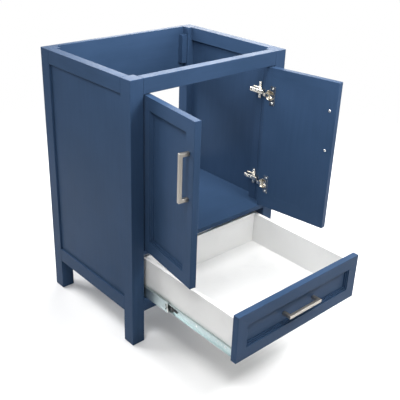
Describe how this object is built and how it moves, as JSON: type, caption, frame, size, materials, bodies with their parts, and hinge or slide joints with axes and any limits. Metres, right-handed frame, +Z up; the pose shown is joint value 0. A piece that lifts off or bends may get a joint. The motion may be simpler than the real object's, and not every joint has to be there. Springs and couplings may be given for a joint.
{
  "type": "bathroom vanity cabinet",
  "caption": "Freestanding vanity base cabinet on square legs, with framed doors on concealed hinges, a framed drawer on ball-bearing slides, an open top and an open back.",
  "frame": {"origin": "on the floor, midway across the width and midway between the drawer handle's front and the cabinet's back in the stored pose", "axes": "+X to the cabinet's right seen from the front, +Y to the back, +Z up"},
  "size_m": [0.6338, 0.8834, 0.86],
  "materials": {
    "blue_paint": "satin navy blue lacquer on solid wood and board",
    "drawer_white": "satin white coated board",
    "handle_nickel": "brushed warm nickel",
    "hinge_nickel": "nickel-plated pressed steel",
    "slide_zinc": "bright zinc-plated rolled steel",
    "screw_steel": "nickel-plated steel screws",
    "lever_black": "moulded black plastic"
  },
  "bodies": {
    "cabinet": {"front_left_post": "blue_paint", "front_right_post": "blue_paint", "rear_left_post": "blue_paint", "rear_right_post": "blue_paint", "left_side_panel": "blue_paint", "right_side_panel": "blue_paint", "left_side_top_rail": "blue_paint", "left_side_bottom_rail": "blue_paint", "right_side_top_rail": "blue_paint", "right_side_bottom_rail": "blue_paint", "front_top_rail": "blue_paint", "front_bottom_rail": "blue_paint", "rear_top_rail": "blue_paint", "rear_bottom_rail": "blue_paint", "cabinet_floor": "blue_paint", "door_stop": "lever_black", "corner_blocks": "blue_paint", "mounting_packers": "blue_paint", "left_slide_cabinet_member": "slide_zinc", "right_slide_cabinet_member": "slide_zinc", "hinge_mounting_plates": "hinge_nickel", "hinge_arms": "hinge_nickel", "cabinet_screws": "screw_steel"},
    "left_door": {"left_door_hinge_stile": "blue_paint", "left_door_handle_stile": "blue_paint", "left_door_top_rail": "blue_paint", "left_door_bottom_rail": "blue_paint", "left_door_panel": "blue_paint", "left_door_handle": "handle_nickel", "left_hinge_cups": "hinge_nickel", "left_door_screws": "screw_steel"},
    "right_door": {"right_door_hinge_stile": "blue_paint", "right_door_handle_stile": "blue_paint", "right_door_top_rail": "blue_paint", "right_door_bottom_rail": "blue_paint", "right_door_panel": "blue_paint", "right_door_handle": "handle_nickel", "right_hinge_cups": "hinge_nickel", "right_door_screws": "screw_steel"},
    "left_hinge_links": {"left_hinge_links": "hinge_nickel"},
    "right_hinge_links": {"right_hinge_links": "hinge_nickel"},
    "drawer": {"drawer_front_left_stile": "blue_paint", "drawer_front_right_stile": "blue_paint", "drawer_front_top_rail": "blue_paint", "drawer_front_bottom_rail": "blue_paint", "drawer_front_panel": "blue_paint", "drawer_handle": "handle_nickel", "drawer_left_side": "drawer_white", "drawer_right_side": "drawer_white", "drawer_sub_front": "drawer_white", "drawer_back": "drawer_white", "drawer_bottom": "drawer_white", "left_slide_drawer_member": "slide_zinc", "right_slide_drawer_member": "slide_zinc", "drawer_screws": "screw_steel"},
    "slide_intermediates": {"left_slide_intermediate_member": "slide_zinc", "right_slide_intermediate_member": "slide_zinc", "slide_bearings": "slide_zinc"},
    "left_release_lever": {"left_slide_release_lever": "lever_black"},
    "right_release_lever": {"right_slide_release_lever": "lever_black"}
  },
  "joints": [
    {"name": "left_door_hinge", "type": "hinge", "parent": "cabinet", "child": "left_door", "pos_m": [-0.25, -0.01725, 0.573], "axis": [0, 0, -1], "range_deg": [-98, 12]},
    {"name": "right_door_hinge", "type": "hinge", "parent": "cabinet", "child": "right_door", "pos_m": [0.25, -0.01725, 0.573], "axis": [0, 0, 1], "range_deg": [-98, 12]},
    {"name": "left_hinge_link_turn", "type": "hinge", "parent": "cabinet", "child": "left_hinge_links", "pos_m": [-0.25, -0.01725, 0.573], "axis": [0, 0, -1], "range_deg": [-49, 6]},
    {"name": "right_hinge_link_turn", "type": "hinge", "parent": "cabinet", "child": "right_hinge_links", "pos_m": [0.25, -0.01725, 0.573], "axis": [0, 0, 1], "range_deg": [-49, 6]},
    {"name": "drawer_slide", "type": "slide", "parent": "cabinet", "child": "drawer", "axis": [0, -1, 0], "range_m": [-0.4, 0]},
    {"name": "slide_intermediate_travel", "type": "slide", "parent": "cabinet", "child": "slide_intermediates", "axis": [0, -1, 0], "range_m": [-0.2, 0]},
    {"name": "left_release_lever_turn", "type": "hinge", "parent": "drawer", "child": "left_release_lever", "pos_m": [-0.2504, -0.14225, 0.184], "axis": [1, 0, 0], "range_deg": [0, 8], "stiffness_Nm_per_rad": 0.02},
    {"name": "right_release_lever_turn", "type": "hinge", "parent": "drawer", "child": "right_release_lever", "pos_m": [0.2504, -0.14225, 0.184], "axis": [-1, 0, 0], "range_deg": [0, 8], "stiffness_Nm_per_rad": 0.02}
  ],
  "couplings": [
    {"joint": "left_hinge_link_turn", "follows": "left_door_hinge", "ratio": 0.5},
    {"joint": "right_hinge_link_turn", "follows": "right_door_hinge", "ratio": 0.5},
    {"joint": "slide_intermediate_travel", "follows": "drawer_slide", "ratio": 0.5}
  ]
}
